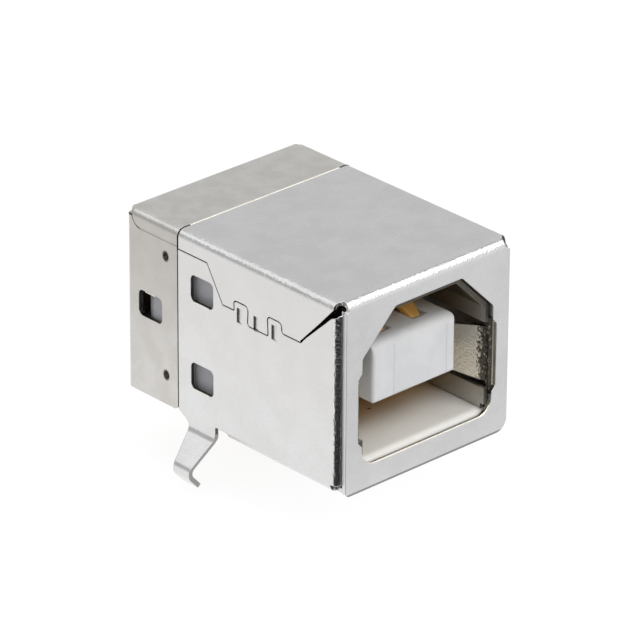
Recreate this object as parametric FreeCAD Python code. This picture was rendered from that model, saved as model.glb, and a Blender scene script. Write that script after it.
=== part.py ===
"""Type B board socket: a folded metal shell round a plastic body with four contacts.

Millimetres, +Z up. The board's top face is z = 0, the plug enters from -Y, and the
origin lies on the board midway between the two board hooks.
"""
import FreeCAD, Part
import math
import os

# Sheet metal
SHEET = 0.25
BEND = 0.20
BEND_OUT = BEND + SHEET
SEAM_GAP = 0.07
RELIEF = 0.30

# Whole part
BODY_WIDTH = 12.0
BODY_HEIGHT = 10.6
BODY_LENGTH = 16.1
HALF = BODY_WIDTH / 2

# Shell: its share of the length, the hooks' place and the bottom plate
COVER_LENGTH = 4.05
SHELL_LENGTH = BODY_LENGTH - COVER_LENGTH
HOOK_TO_COVER = 1.77
FRONT_TO_HOOK = SHELL_LENGTH - HOOK_TO_COVER
HOOK_TO_BOTTOM = 1.93
BOTTOM_LENGTH = FRONT_TO_HOOK - HOOK_TO_BOTTOM
SHELL_LIFT = 0.05

# Front plate, folded down from the top
BEZEL_INSET = 0.375
BEZEL_WIDTH = BODY_WIDTH - 2 * BEZEL_INSET
BEZEL_DROP = 0.12
BEZEL_CORNER = 0.70
BEZEL_SHOULDER = 0.12
BEZEL_NECK = BEZEL_WIDTH - BEZEL_INSET
LEFT_HOLE = 0.38
RIGHT_HOLE = 0.52

# Space for the plug
SIDE_ROOM = 1.775
CAVITY_WIDTH = BODY_WIDTH - 2 * SIDE_ROOM
CAVITY_FLOOR = 1.40
CEILING_ROOM = 1.42
CAVITY_TOP = BODY_HEIGHT - CEILING_ROOM
CAVITY_WALL = 0.88
CAVITY_DEPTH = FRONT_TO_HOOK - CAVITY_WALL
CAVITY_CHAMFER = 2.00

# Opening in the front plate, wider where the spring fingers start
OPENING_FIT = 0.30
OPENING_WIDTH = CAVITY_WIDTH + 2 * OPENING_FIT
OPENING_BOTTOM = 1.20
OPENING_FRAME = 1.10
OPENING_TOP = BODY_HEIGHT - OPENING_FRAME
OPENING_CHAMFER = 2.23
OPENING_CORNER = 0.90
WIDE_STEP = 0.27
WIDE_HEIGHT = 3.50
WIDE_SLANT = 0.30
SPRING_LIFT = 0.19
SPRING_LEVEL = (OPENING_BOTTOM + OPENING_TOP - OPENING_CHAMFER) / 2 + SPRING_LIFT

# Spring fingers at the sides of the opening
FINGER_ROOT = 3.10
FINGER_NOSE = 2.36
FINGER_TIP = 1.90
FINGER_DROP = 0.13
FINGER_MARGIN = 0.15
FINGER_INWARD = 1.05
FINGER_APEX = 3.20
FINGER_END = 5.40
FINGER_RETURN = 0.50

# Side windows
WINDOW_LENGTH = 1.70
WINDOW_HEIGHT = 1.50
WINDOW_FRONT = SHELL_LENGTH - 2.65
WINDOW_LEVELS = (2.80, BODY_HEIGHT - 2.87)
WINDOW_CORNER = 0.30
WINDOW_POCKET = 0.12
COVER_WINDOW_LENGTH = 1.80
COVER_WINDOW_HEIGHT = 1.45
COVER_WINDOW_FRONT = SHELL_LENGTH + 1.25
COVER_WINDOW_LEVEL = BODY_HEIGHT / 2 + 0.20

# Seam that closes the shell on its left side
SEAM_HIGH = BODY_HEIGHT - 1.04
SEAM_LOW = BODY_HEIGHT - 2.96
SEAM_SLANT_REAR = SHELL_LENGTH - 2.20
SEAM_SLANT_FOOT = SHELL_LENGTH - 3.37
SEAM_FRONT_FOOT = 2.95
SEAM_FLAT = SEAM_SLANT_FOOT - SEAM_FRONT_FOOT
LOCK_CENTRES = (SEAM_FRONT_FOOT + 0.764 * SEAM_FLAT, SEAM_FRONT_FOOT + 0.326 * SEAM_FLAT)
LOCK_WIDTH = 1.05
LOCK_RISE = 0.56
LOCK_DROP = 0.51
LOCK_UNDERCUT = 0.06
LOCK_CORNERS = (0.08, 0.16, 0.25, 0.15)
MOUTH_WIDTH = 0.30
MOUTH_TURN = 1.10
STAKE_PLACES = (LOCK_CENTRES[0] + 0.09, sum(LOCK_CENTRES) / 2 + 0.10, LOCK_CENTRES[1] + 0.03)
STAKE_WIDTH = 0.42
STAKE_HEIGHT = 0.82
STAKE_DEPTH = 0.09
STAKE_LEVEL = SEAM_LOW - 0.21

# Rear cover
COVER_GAP = 0.08
COVER_BOTTOM = 0.38
COVER_FLAP = BODY_HEIGHT - 0.92
COVER_FLAP_END = BODY_LENGTH - BEND_OUT - 0.10
COVER_FLAP_ROUND = 0.60
COVER_CORNER = 0.25
DIMPLE_PLACE = SHELL_LENGTH + 0.95
DIMPLE_LEVELS = (2.05, BODY_HEIGHT - 1.82)
DIMPLE_RADIUS = 0.20
DIMPLE_DEPTH = 0.15

# Board hooks
HOOK_ROOT = 1.96
HOOK_NECK = 1.20
HOOK_BEND_LEVEL = -0.25
HOOK_OUT = 1.45
HOOK_KNEE_LEVEL = -1.75
HOOK_FLAT = 0.45
HOOK_CURL = 0.62
HOOK_LENGTH = 2.88
HOOK_BEND = 0.60
HOOK_KNEE_BEND = 0.28
SHOULDER_LEVEL = 0.45
SHOULDER_RADIUS = 0.45

# Plastic body
FIT = 0.05
GROOVE = 0.40
FLOOR_NOSE = 0.40
TONGUE_ROOM = 1.375
TONGUE_WIDTH = CAVITY_WIDTH - 2 * TONGUE_ROOM
TONGUE_HEIGHT = 3.27
TONGUE_LIFT = 0.125
TONGUE_BOTTOM = (CAVITY_FLOOR + CAVITY_TOP - TONGUE_HEIGHT) / 2 + TONGUE_LIFT
TONGUE_TOP = TONGUE_BOTTOM + TONGUE_HEIGHT
TONGUE_FRONT = 1.00
TONGUE_ROUND = 0.60
TONGUE_SIDE = 0.16
TONGUE_EDGE = 0.20
BODY_BASE = 0.45
FOOT_WIDTH = BODY_WIDTH - 2.80
CHEEK_END = BODY_LENGTH - 1.30
CHEEK_INSIDE = HALF - 1.70
CHEEK_LEAD = 0.55
CHEEK_CUT = 0.25

# Contacts
PITCH = 2.50
CONTACT_SHEET = 0.25
CONTACT_WIDTH = 0.90
CONTACT_TIP = 0.55
CONTACT_TIP_ROUND = 0.22
CONTACT_TAPER = 0.80
LEG_WIDTH = 0.60
CONTACT_START = 2.20
CONTACT_BUMP = 3.20
BUMP_RISE = 0.58
BEAM_REST = 6.30
BEAM_DEPTH = 0.25
ROW_TO_BACK = 1.11
ROWS_APART = 2.00
ROW_REAR = BODY_LENGTH - ROW_TO_BACK - FRONT_TO_HOOK
ROW_FRONT = ROW_REAR - ROWS_APART
TAIL_LENGTH = 3.20
TAIL_POINT = 0.45
CHANNEL_FIT = 0.04

# Tail spacer
SPACER_BOTTOM = 0.50
SPACER_HEIGHT = 1.10
SPACER_FRONT = SHELL_LENGTH + FIT

X = FreeCAD.Vector(1, 0, 0)
Y = FreeCAD.Vector(0, 1, 0)
Z = FreeCAD.Vector(0, 0, 1)


def depth(from_front):
    """Y of a place measured back from the front face."""
    return from_front - FRONT_TO_HOOK


def box(x0, x1, y0, y1, z0, z1):
    """Block between two corners; the y values are measured back from the front face."""
    return Part.makeBox(x1 - x0, y1 - y0, z1 - z0, FreeCAD.Vector(x0, depth(y0), z0))


def unit(a, b):
    """Unit vector from a to b in a plane."""
    length = math.hypot(b[0] - a[0], b[1] - a[1])
    return (b[0] - a[0]) / length, (b[1] - a[1]) / length


def offset_corners(points, shift):
    """Corners of an open line moved sideways, to its left if shift is positive."""
    ways = [unit(a, b) for a, b in zip(points, points[1:])]
    moved = []
    for i, (px, py) in enumerate(points):
        before = ways[max(i - 1, 0)]
        after = ways[min(i, len(ways) - 1)]
        nx, ny = -before[1] - after[1], before[0] + after[0]
        scale = shift / (1 + before[0] * after[0] + before[1] * after[1])
        moved.append((px + nx * scale, py + ny * scale))
    return moved


def turn(a, b, c):
    """Signed angle turned at b, positive to the left."""
    u, v = unit(a, b), unit(b, c)
    return math.atan2(u[0] * v[1] - u[1] * v[0], u[0] * v[0] + u[1] * v[1])


def rounded_edges(points, radii, place):
    """Straight edges joined by arcs through an open line's inner corners."""
    edges = []
    start = points[0]
    for i in range(1, len(points) - 1):
        a, b, c = points[i - 1], points[i], points[i + 1]
        angle = turn(a, b, c)
        radius = radii[i - 1]
        if abs(angle) < 1e-6 or radius < 1e-6:
            edges.append(Part.makeLine(place(*start), place(*b)))
            start = b
            continue
        reach = radius * math.tan(abs(angle) / 2)
        u, v = unit(a, b), unit(b, c)
        first = (b[0] - u[0] * reach, b[1] - u[1] * reach)
        last = (b[0] + v[0] * reach, b[1] + v[1] * reach)
        mx, my = v[0] - u[0], v[1] - u[1]
        size = math.hypot(mx, my)
        sag = radius / math.cos(angle / 2) - radius
        middle = (b[0] + mx / size * sag, b[1] + my / size * sag)
        if math.hypot(first[0] - start[0], first[1] - start[1]) > 1e-6:
            edges.append(Part.makeLine(place(*start), place(*first)))
        edges.append(Part.Arc(place(*first), place(*middle), place(*last)).toShape())
        start = last
    edges.append(Part.makeLine(place(*start), place(*points[-1])))
    return edges


def strip(points, thickness, bend, place, along):
    """Folded sheet: an open line with bends, thickened to its left (right if negative)."""
    turns = [turn(a, b, c) for a, b, c in zip(points, points[1:], points[2:])]
    bends = bend if isinstance(bend, (list, tuple)) else [bend] * len(turns)
    wall = abs(thickness)
    near = [b + (wall if t * thickness > 0 else 0) for b, t in zip(bends, turns)]
    far = [b + (0 if t * thickness > 0 else wall) for b, t in zip(bends, turns)]
    other = offset_corners(points, thickness)
    edges = rounded_edges(points, near, place)
    edges.append(Part.makeLine(place(*points[-1]), place(*other[-1])))
    edges += rounded_edges(other[::-1], far[::-1], place)
    edges.append(Part.makeLine(place(*other[0]), place(*points[0])))
    wire = Part.Wire(Part.__sortEdges__(edges))
    return Part.Face(wire).extrude(along)


def outline(points, radii, place, along):
    """Closed flat outline drawn out into a plate; its corners are sharp if radii is None."""
    count = len(points)
    radii = radii or [0] * count
    edges = []
    ends = []
    for i in range(count):
        a, b, c = points[i - 1], points[i], points[(i + 1) % count]
        angle = abs(turn(a, b, c))
        reach = radii[i] * math.tan(angle / 2)
        u, v = unit(a, b), unit(b, c)
        first = (b[0] - u[0] * reach, b[1] - u[1] * reach)
        last = (b[0] + v[0] * reach, b[1] + v[1] * reach)
        ends.append((first, last))
        if radii[i] > 1e-6:
            mx, my = v[0] - u[0], v[1] - u[1]
            size = math.hypot(mx, my)
            sag = radii[i] / math.cos(angle / 2) - radii[i]
            middle = (b[0] + mx / size * sag, b[1] + my / size * sag)
            edges.append(Part.Arc(place(*first), place(*middle), place(*last)).toShape())
    for i in range(count):
        start, finish = ends[i][1], ends[(i + 1) % count][0]
        if math.hypot(start[0] - finish[0], start[1] - finish[1]) > 1e-6:
            edges.append(Part.makeLine(place(*start), place(*finish)))
    wire = Part.Wire(Part.__sortEdges__(edges))
    return Part.Face(wire).extrude(along)


def on_side(x):
    """Plane of a side plate: (depth from the front, height)."""
    return lambda a, b: FreeCAD.Vector(x, depth(a), b)


def on_front(from_front):
    """Plane parallel to the front face: (across, height)."""
    return lambda a, b: FreeCAD.Vector(a, depth(from_front), b)


def on_floor(z):
    """Level plane: (across, depth from the front)."""
    return lambda a, b: FreeCAD.Vector(a, depth(b), z)


def rounded_box(y0, y1, z0, z1, radius, x0, x1):
    """Block across the part whose side view is a rectangle with rounded corners."""
    points = [(y0, z0), (y1, z0), (y1, z1), (y0, z1)]
    return outline(points, [radius] * 4, on_side(x0), X * (x1 - x0))


def mirrored(shape):
    """The same shape on the other side of the part."""
    return shape.mirror(FreeCAD.Vector(0, 0, 0), X)


def both_sides(shape):
    """A left-hand shape and its mirror image."""
    return [shape, mirrored(shape)]


def tube():
    """Rounded rectangular sleeve, its sides set back for the front bends."""
    front, rear = BEND_OUT, SHELL_LENGTH
    low, high = SHELL_LIFT, BODY_HEIGHT
    outer = outline([(-HALF, low), (HALF, low), (HALF, high), (-HALF, high)],
                    [BEND_OUT] * 4, on_front(front), Y * (rear - front))
    wall = HALF - SHEET
    inner = outline([(-wall, low + SHEET), (wall, low + SHEET), (wall, high - SHEET),
                     (-wall, high - SHEET)],
                    [BEND] * 4, on_front(front), Y * (rear - front))
    setback = box(-HALF, -wall + BEND, 0, SHEET + BEND_OUT, low, high - BEND_OUT - SHEET)
    return outer.cut([inner] + both_sides(setback))


def front_fold():
    """Bend between the top and the front plate."""
    line = [(SHELL_LENGTH / 2, BODY_HEIGHT), (0, BODY_HEIGHT), (0, OPENING_TOP)]
    return strip(line, SHEET, BEND, on_side(-BEZEL_NECK / 2), X * BEZEL_NECK)


def bezel():
    """Front plate, hanging from the front fold."""
    half = BEZEL_WIDTH / 2
    top = BODY_HEIGHT - BEND_OUT
    plate = outline([(-half, -BEZEL_DROP), (half, -BEZEL_DROP), (half, top), (-half, top)],
                    [RELIEF, BEZEL_CORNER, BEZEL_SHOULDER, BEZEL_SHOULDER], on_front(0), Y * SHEET)
    return plate.cut(opening())


def opening():
    """Hole for the plug: two cut corners above, two round below, wider at the fingers."""
    half = OPENING_WIDTH / 2
    cut = OPENING_CHAMFER
    hole = outline([(-half, OPENING_BOTTOM), (half, OPENING_BOTTOM), (half, OPENING_TOP - cut),
                    (half - cut, OPENING_TOP), (-half + cut, OPENING_TOP),
                    (-half, OPENING_TOP - cut)],
                   [OPENING_CORNER, OPENING_CORNER, RELIEF, RELIEF, RELIEF, RELIEF],
                   on_front(-SHEET), Y * (3 * SHEET))
    wide = half + WIDE_STEP
    low, high = SPRING_LEVEL - WIDE_HEIGHT / 2, SPRING_LEVEL + WIDE_HEIGHT / 2
    step = outline([(-half, low - WIDE_SLANT), (half, low - WIDE_SLANT), (wide, low), (wide, high),
                    (half, high + WIDE_SLANT), (-half, high + WIDE_SLANT), (-wide, high), (-wide, low)],
                   None, on_front(-SHEET), Y * (3 * SHEET))
    return hole.fuse(step)


def side_front():
    """Left front bend with its flange behind the front plate."""
    low, high = SHELL_LIFT + BEND_OUT, BODY_HEIGHT - BEND_OUT - SEAM_GAP
    line = [(-OPENING_WIDTH / 2, SHEET), (-HALF, SHEET), (-HALF, SHEET + 2 * BEND_OUT)]
    return strip(line[::-1], SHEET, BEND, on_floor(low), Z * (high - low))


def finger():
    """Left spring finger: rolled back from the flange, in to its apex and out again."""
    root = -OPENING_WIDTH / 2 - WIDE_STEP + FINGER_MARGIN
    apex = root + FINGER_INWARD
    line = [(-HALF + BEND_OUT, 2 * SHEET), (root - SHEET, 2 * SHEET), (apex - SHEET, FINGER_APEX),
            (apex - SHEET - FINGER_RETURN, FINGER_END)]
    body = strip(line, -SHEET, [BEND, 3 * BEND], on_floor(0), Z * BODY_HEIGHT)
    middle = SPRING_LEVEL - FINGER_DROP
    root_half, nose_half, tip_half = FINGER_ROOT / 2, FINGER_NOSE / 2, FINGER_TIP / 2
    end = FINGER_END + SHEET / 4
    shape = outline([(0, middle - root_half), (BEND_OUT + SHEET, middle - root_half),
                     (FINGER_APEX, middle - nose_half), (end, middle - tip_half),
                     (end, middle + tip_half), (FINGER_APEX, middle + nose_half),
                     (BEND_OUT + SHEET, middle + root_half), (0, middle + root_half)],
                    [0, BEND, BEND, tip_half / 2, tip_half / 2, BEND, BEND, 0],
                    on_side(-HALF), X * HALF)
    return body.common(shape)


def seam():
    """Interlocking cut through the left side, wide open where it climbs to the front."""
    high, low = SEAM_HIGH, SEAM_LOW
    line = [(SHELL_LENGTH + SEAM_GAP, high), (SEAM_SLANT_REAR, high), (SEAM_SLANT_FOOT, low)]
    corners = [SEAM_GAP] * 2 + list(LOCK_CORNERS) * 2 + [SEAM_GAP]
    half = LOCK_WIDTH / 2
    for centre in LOCK_CENTRES:
        first = centre == LOCK_CENTRES[0]
        rear_foot = low if first else low - LOCK_DROP
        front_foot = low - LOCK_DROP if first else low
        line += [(centre + half, rear_foot), (centre + half + LOCK_UNDERCUT, low + LOCK_RISE),
                 (centre - half - LOCK_UNDERCUT, low + LOCK_RISE), (centre - half, front_foot)]
    line += [(SEAM_FRONT_FOOT, low), (SHEET, low + SEAM_FRONT_FOOT)]
    narrow = strip(line, SEAM_GAP, corners, on_side(-HALF - SHEET), X * (3 * SHEET))
    level = low + SEAM_FRONT_FOOT - MOUTH_TURN
    step = BODY_HEIGHT - BEND_OUT - SHEET - SEAM_GAP
    top = BODY_HEIGHT - SHEET
    mouth = outline([(SEAM_FRONT_FOOT, low - SEAM_GAP / 2), (MOUTH_TURN, level - MOUTH_WIDTH / 2),
                     (SHEET + BEND_OUT, step - BEND / 2), (2 * BEND, step), (SHEET, step + SHEET),
                     (0, step + SHEET), (0, top), (BEND_OUT, top),
                     (MOUTH_TURN, level + MOUTH_WIDTH / 2), (SEAM_FRONT_FOOT, low + SEAM_GAP)],
                    None, on_side(-HALF - SHEET), X * (3 * SHEET))
    return [narrow, mouth]


def corner_holes():
    """Round holes where the top, a side and the front plate meet, wider on the right."""
    across, level = HALF - BEND, BODY_HEIGHT - RELIEF
    left = Part.makeSphere(LEFT_HOLE, FreeCAD.Vector(-across, depth(SHEET), level))
    right = Part.makeSphere(RIGHT_HOLE, FreeCAD.Vector(across, depth(SHEET), level))
    return [left, right]


def stakes():
    """Coined marks that spread the locks, deepest at their rear edge."""
    outside, bottom = -HALF - SHEET, -HALF + STAKE_DEPTH
    marks = []
    for place in STAKE_PLACES:
        front, rear = place - STAKE_WIDTH / 2, place + STAKE_WIDTH / 2
        marks.append(outline([(outside, front), (-HALF, front), (bottom, rear), (outside, rear)],
                             None, on_floor(STAKE_LEVEL - STAKE_HEIGHT / 2), Z * STAKE_HEIGHT))
    return marks


def windows():
    """Two windows through each side."""
    rear = WINDOW_FRONT + WINDOW_LENGTH
    return [rounded_box(WINDOW_FRONT, rear, level - WINDOW_HEIGHT / 2, level + WINDOW_HEIGHT / 2,
                        WINDOW_CORNER, -HALF - SHEET, HALF + SHEET)
            for level in WINDOW_LEVELS]


def hook():
    """Left board hook: the side plate's lower edge, its shoulders and the bent spring."""
    centre, half, neck = FRONT_TO_HOOK, HOOK_ROOT / 2, HOOK_NECK / 2
    top = SHELL_LIFT + BEND_OUT + SHEET
    knee = -HALF - HOOK_OUT
    line = [(-HALF, top), (-HALF, HOOK_BEND_LEVEL), (knee, HOOK_KNEE_LEVEL),
            (knee, HOOK_KNEE_LEVEL - HOOK_FLAT), (knee + HOOK_CURL, -HOOK_LENGTH)]
    sheet = strip(line, SHEET, [HOOK_BEND, HOOK_KNEE_BEND, HOOK_KNEE_BEND], on_front(BOTTOM_LENGTH),
                  Y * (SHELL_LENGTH - BOTTOM_LENGTH))
    tip = -HOOK_LENGTH - SHEET
    shape = outline([(BOTTOM_LENGTH, top), (BOTTOM_LENGTH, SHOULDER_LEVEL),
                     (centre - half, SHOULDER_LEVEL), (centre - half, HOOK_BEND_LEVEL),
                     (centre - neck, HOOK_KNEE_LEVEL), (centre - neck, tip), (centre + neck, tip),
                     (centre + neck, HOOK_KNEE_LEVEL), (centre + half, HOOK_BEND_LEVEL),
                     (centre + half, HOOK_BEND_LEVEL + SHEET), (SHELL_LENGTH, SHOULDER_LEVEL),
                     (SHELL_LENGTH, top)],
                    [0, 0, SHEET / 2, HOOK_BEND, HOOK_BEND, 0, 0, HOOK_BEND, 0, SHOULDER_RADIUS, 0, 0],
                    on_side(-HALF - 2 * HOOK_OUT), X * (3 * HOOK_OUT))
    return sheet.common(shape)


def shell():
    """The main folded sheet: sleeve, front plate, flanges, fingers and board hooks."""
    low = SHELL_LIFT
    body = tube().cut(box(-HALF, HALF, BOTTOM_LENGTH, SHELL_LENGTH, low, low + BEND_OUT + SHEET))
    flat = HALF - BEND_OUT
    front_edge = box(-flat, flat, SHEET + FIT, 2 * BEND_OUT, low, low + SHEET)
    body = body.fuse([front_edge, front_fold()] + both_sides(side_front()))
    body = body.cut(seam() + corner_holes() + windows() + stakes())
    return body.fuse([bezel()] + both_sides(finger()) + both_sides(hook())).removeSplitter()


def cover_window():
    """Window through both sides of the rear cover."""
    half = COVER_WINDOW_HEIGHT / 2
    return rounded_box(COVER_WINDOW_FRONT, COVER_WINDOW_FRONT + COVER_WINDOW_LENGTH,
                       COVER_WINDOW_LEVEL - half, COVER_WINDOW_LEVEL + half,
                       WINDOW_CORNER, -HALF - SHEET, HALF + SHEET)


def dimple(level, outward):
    """Left dimple: a cone pressed in from outside, or the bump that it raises inside."""
    y = depth(DIMPLE_PLACE)
    if outward:
        base = FreeCAD.Vector(-HALF, y, level)
        return Part.makeCone(DIMPLE_RADIUS, DIMPLE_RADIUS / 3, DIMPLE_DEPTH, base, X)
    base = FreeCAD.Vector(-HALF + SHEET, y, level)
    return Part.makeCone(DIMPLE_RADIUS, DIMPLE_RADIUS / 3, DIMPLE_DEPTH, base, X)


def flap_outline(end, low, corner):
    """Side view of the top's flaps, drawn out across the part; its lower rear corner is round."""
    front = SHELL_LENGTH
    return outline([(front, low), (end, low), (end, BODY_HEIGHT), (front, BODY_HEIGHT)],
                   [0, corner, 0, 0], on_side(-HALF), X * BODY_WIDTH)


def rear_cover():
    """Folded cover: top with short side flaps, back plate and two side wings."""
    front, rear = SHELL_LENGTH + COVER_GAP, BODY_LENGTH
    top = strip([(-HALF, COVER_FLAP), (-HALF, BODY_HEIGHT), (HALF, BODY_HEIGHT), (HALF, COVER_FLAP)],
                -SHEET, BEND, on_front(front), Y * (COVER_FLAP_END - front))
    flap = flap_outline(COVER_FLAP_END, COVER_FLAP, COVER_FLAP_ROUND)
    flat = HALF - BEND_OUT
    back = strip([(front, BODY_HEIGHT), (rear, BODY_HEIGHT), (rear, COVER_BOTTOM)],
                 -SHEET, BEND, on_side(-flat), X * (2 * flat))
    wing_top = BODY_HEIGHT - BEND_OUT
    wings = strip([(-HALF, front), (-HALF, rear), (HALF, rear), (HALF, front)],
                  -SHEET, BEND, on_floor(COVER_BOTTOM), Z * (wing_top - COVER_BOTTOM))
    blank = outline([(front, COVER_BOTTOM), (rear, COVER_BOTTOM), (rear, wing_top), (front, wing_top)],
                    [COVER_CORNER, COVER_CORNER, 0, 0], on_side(-HALF), X * BODY_WIDTH)
    slit = flap_outline(COVER_FLAP_END + SEAM_GAP, COVER_FLAP - SEAM_GAP, COVER_FLAP_ROUND + SEAM_GAP)
    body = top.common(flap).fuse([back, wings.common(blank).cut(slit)])
    bumps = []
    dents = []
    for level in DIMPLE_LEVELS:
        bumps += both_sides(dimple(level, False))
        dents += both_sides(dimple(level, True))
    return body.fuse(bumps).cut([cover_window()] + dents).removeSplitter()


def inner_shield():
    """Folded lining of the plug space, open below and slotted for the fingers."""
    half, cut = CAVITY_WIDTH / 2, CAVITY_CHAMFER
    ceiling = CAVITY_TOP
    foot = CAVITY_FLOOR - GROOVE
    line = [(-half, foot), (-half, ceiling - cut), (-half + cut, ceiling), (half - cut, ceiling),
            (half, ceiling - cut), (half, foot)]
    front, rear = 2 * SHEET + FIT, CAVITY_DEPTH - FIT
    sheet = strip(line, SHEET, BEND, on_front(front), Y * (rear - front))
    reach = WIDE_HEIGHT / 2 + SHEET / 2
    slot = rounded_box(front - BEND_OUT, FINGER_END + 2 * SHEET, SPRING_LEVEL - reach,
                       SPRING_LEVEL + reach, RELIEF, -HALF, HALF)
    return sheet.cut(slot)


def tongue():
    """Plastic tongue with rounded nose that carries the contacts."""
    half = TONGUE_WIDTH / 2
    rear = CAVITY_DEPTH + SHEET
    bar = outline([(-half, TONGUE_BOTTOM), (half, TONGUE_BOTTOM), (half, TONGUE_TOP), (-half, TONGUE_TOP)],
                  [TONGUE_EDGE] * 4, on_front(TONGUE_FRONT), Y * (rear - TONGUE_FRONT))
    plan = outline([(-half, rear), (half, rear), (half, TONGUE_FRONT), (-half, TONGUE_FRONT)],
                   [0, 0, TONGUE_SIDE, TONGUE_SIDE], on_floor(TONGUE_BOTTOM), Z * TONGUE_HEIGHT)
    side = outline([(TONGUE_FRONT, TONGUE_BOTTOM), (rear, TONGUE_BOTTOM), (rear, TONGUE_TOP),
                    (TONGUE_FRONT, TONGUE_TOP)],
                   [TONGUE_EDGE, 0, 0, TONGUE_ROUND], on_side(-half), X * TONGUE_WIDTH)
    return bar.common(plan).common(side)


def floor():
    """Plastic floor of the plug space with a rounded front lip and two grooves."""
    nose = OPENING_WIDTH / 2 - FIT
    wide = HALF - SHEET - FIT
    low = SHELL_LIFT + SHEET + FIT
    front, behind = SHEET + FIT, SHEET + BEND_OUT + FIT
    slab = box(-wide, wide, behind, CAVITY_DEPTH + SHEET, low, CAVITY_FLOOR)
    slab = slab.cut(lower_edges(wide, low))
    lip = outline([(front, low), (behind + FIT, low), (behind + FIT, CAVITY_FLOOR),
                   (front, CAVITY_FLOOR)],
                  [0, 0, 0, FLOOR_NOSE], on_side(-nose), X * (2 * nose))
    slab = slab.fuse(lip)
    outside = CAVITY_WIDTH / 2 + SHEET + FIT / 2
    groove = box(-outside, -CAVITY_WIDTH / 2 + FIT / 2, 2 * SHEET, CAVITY_DEPTH,
                 CAVITY_FLOOR - GROOVE - FIT, CAVITY_FLOOR)
    return slab.cut(both_sides(groove))


def lower_edges(wide, low):
    """Long edges taken off the floor where it lies in the shell's lower bends."""
    corner = outline([(-wide, low), (-wide + BEND, low), (-wide, low + BEND)], None,
                     on_front(0), Y * CAVITY_DEPTH)
    return both_sides(corner)


def rear_block():
    """Plastic block behind the plug space, its foot on the board and its two cheeks."""
    wide = HALF - SHEET - FIT
    top = BODY_HEIGHT - SHEET - FIT
    rear = SHELL_LENGTH
    block = outline([(-wide, BODY_BASE), (wide, BODY_BASE), (wide, top), (-wide, top)],
                    [0, 0, BEND, BEND], on_front(CAVITY_DEPTH), Y * (CHEEK_END - CAVITY_DEPTH))
    bay = box(-CHEEK_INSIDE, CHEEK_INSIDE, rear, CHEEK_END, BODY_BASE, top)
    lead = CHEEK_END - CHEEK_LEAD
    narrow = wide - CHEEK_CUT
    ends = outline([(-wide, CAVITY_DEPTH), (wide, CAVITY_DEPTH), (wide, lead), (narrow, CHEEK_END),
                    (-narrow, CHEEK_END), (-wide, lead)],
                   None, on_floor(BODY_BASE), Z * (top - BODY_BASE))
    foot = box(-FOOT_WIDTH / 2, FOOT_WIDTH / 2, BOTTOM_LENGTH + FIT, rear, 0, BODY_BASE + SHEET)
    return block.cut(bay).common(ends).fuse(foot)


def contact_line(upper):
    """Side view of a contact's middle line: tip, bump, beam and leg."""
    way = 1 if upper else -1
    face = TONGUE_TOP if upper else TONGUE_BOTTOM
    beam = face - way * BEAM_DEPTH
    row = FRONT_TO_HOOK + (ROW_REAR if upper else ROW_FRONT)
    return [(CONTACT_START, beam), (CONTACT_BUMP, beam + way * BUMP_RISE), (BEAM_REST, beam),
            (row, beam), (row, -TAIL_LENGTH)]


def contact(side, upper):
    """One contact: wide beam with a narrow tip, bent down into a slim leg and tail."""
    line = contact_line(upper)
    row = line[-1][0]
    centre = side * PITCH / 2
    half, leg = CONTACT_WIDTH / 2, LEG_WIDTH / 2
    middle = offset_corners(line, -CONTACT_SHEET / 2)
    bends = [2 * BEND, 4 * BEND, BEND]
    sheet = strip(middle, CONTACT_SHEET, bends, on_side(centre - half), X * CONTACT_WIDTH)
    wide_end = SHELL_LENGTH + SHEET
    start = CONTACT_START
    plan = outline([(centre - CONTACT_TIP / 2, start), (centre + CONTACT_TIP / 2, start),
                    (centre + half, start + CONTACT_TAPER), (centre + half, wide_end),
                    (centre + leg, wide_end), (centre + leg, row + 1), (centre - leg, row + 1),
                    (centre - leg, wide_end), (centre - half, wide_end),
                    (centre - half, start + CONTACT_TAPER)],
                   [CONTACT_TIP_ROUND] * 2 + [0] * 8,
                   on_floor(-TAIL_LENGTH), Z * (BODY_HEIGHT + TAIL_LENGTH))
    point = outline([(centre - leg / 2, -TAIL_LENGTH), (centre + leg / 2, -TAIL_LENGTH),
                     (centre + leg, -TAIL_LENGTH + TAIL_POINT), (centre + half, 0),
                     (centre + half, BODY_HEIGHT), (centre - half, BODY_HEIGHT),
                     (centre - half, 0), (centre - leg, -TAIL_LENGTH + TAIL_POINT)],
                    None, on_front(0), Y * BODY_LENGTH)
    return sheet.common(plan).common(point)


def channels():
    """Grooves along the tongue and slots through the block, one for each contact."""
    cuts = []
    half = CONTACT_WIDTH / 2 + CHANNEL_FIT
    deep = CONTACT_SHEET / 2 + CHANNEL_FIT
    for side in (-1, 1):
        centre = side * PITCH / 2
        for upper in (True, False):
            beam = contact_line(upper)[0][1]
            way = 1 if upper else -1
            inner, outer = beam - way * deep, beam + way * deep
            face = TONGUE_TOP + SHEET if upper else TONGUE_BOTTOM - SHEET
            cuts.append(box(centre - half, centre + half, CONTACT_START - BEND, CAVITY_DEPTH,
                            min(inner, face), max(inner, face)))
            cuts.append(box(centre - half, centre + half, CAVITY_DEPTH - FIT, SHELL_LENGTH + FIT,
                            min(inner, outer), max(inner, outer)))
    return cuts


def dimple_pockets():
    """Hollows in the cheeks that the cover's bumps snap into."""
    pockets = []
    for level in DIMPLE_LEVELS:
        base = FreeCAD.Vector(-HALF + SHEET, depth(DIMPLE_PLACE), level)
        pocket = Part.makeCylinder(DIMPLE_RADIUS + FIT, DIMPLE_DEPTH + FIT, base, X)
        pockets += both_sides(pocket)
    return pockets


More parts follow.
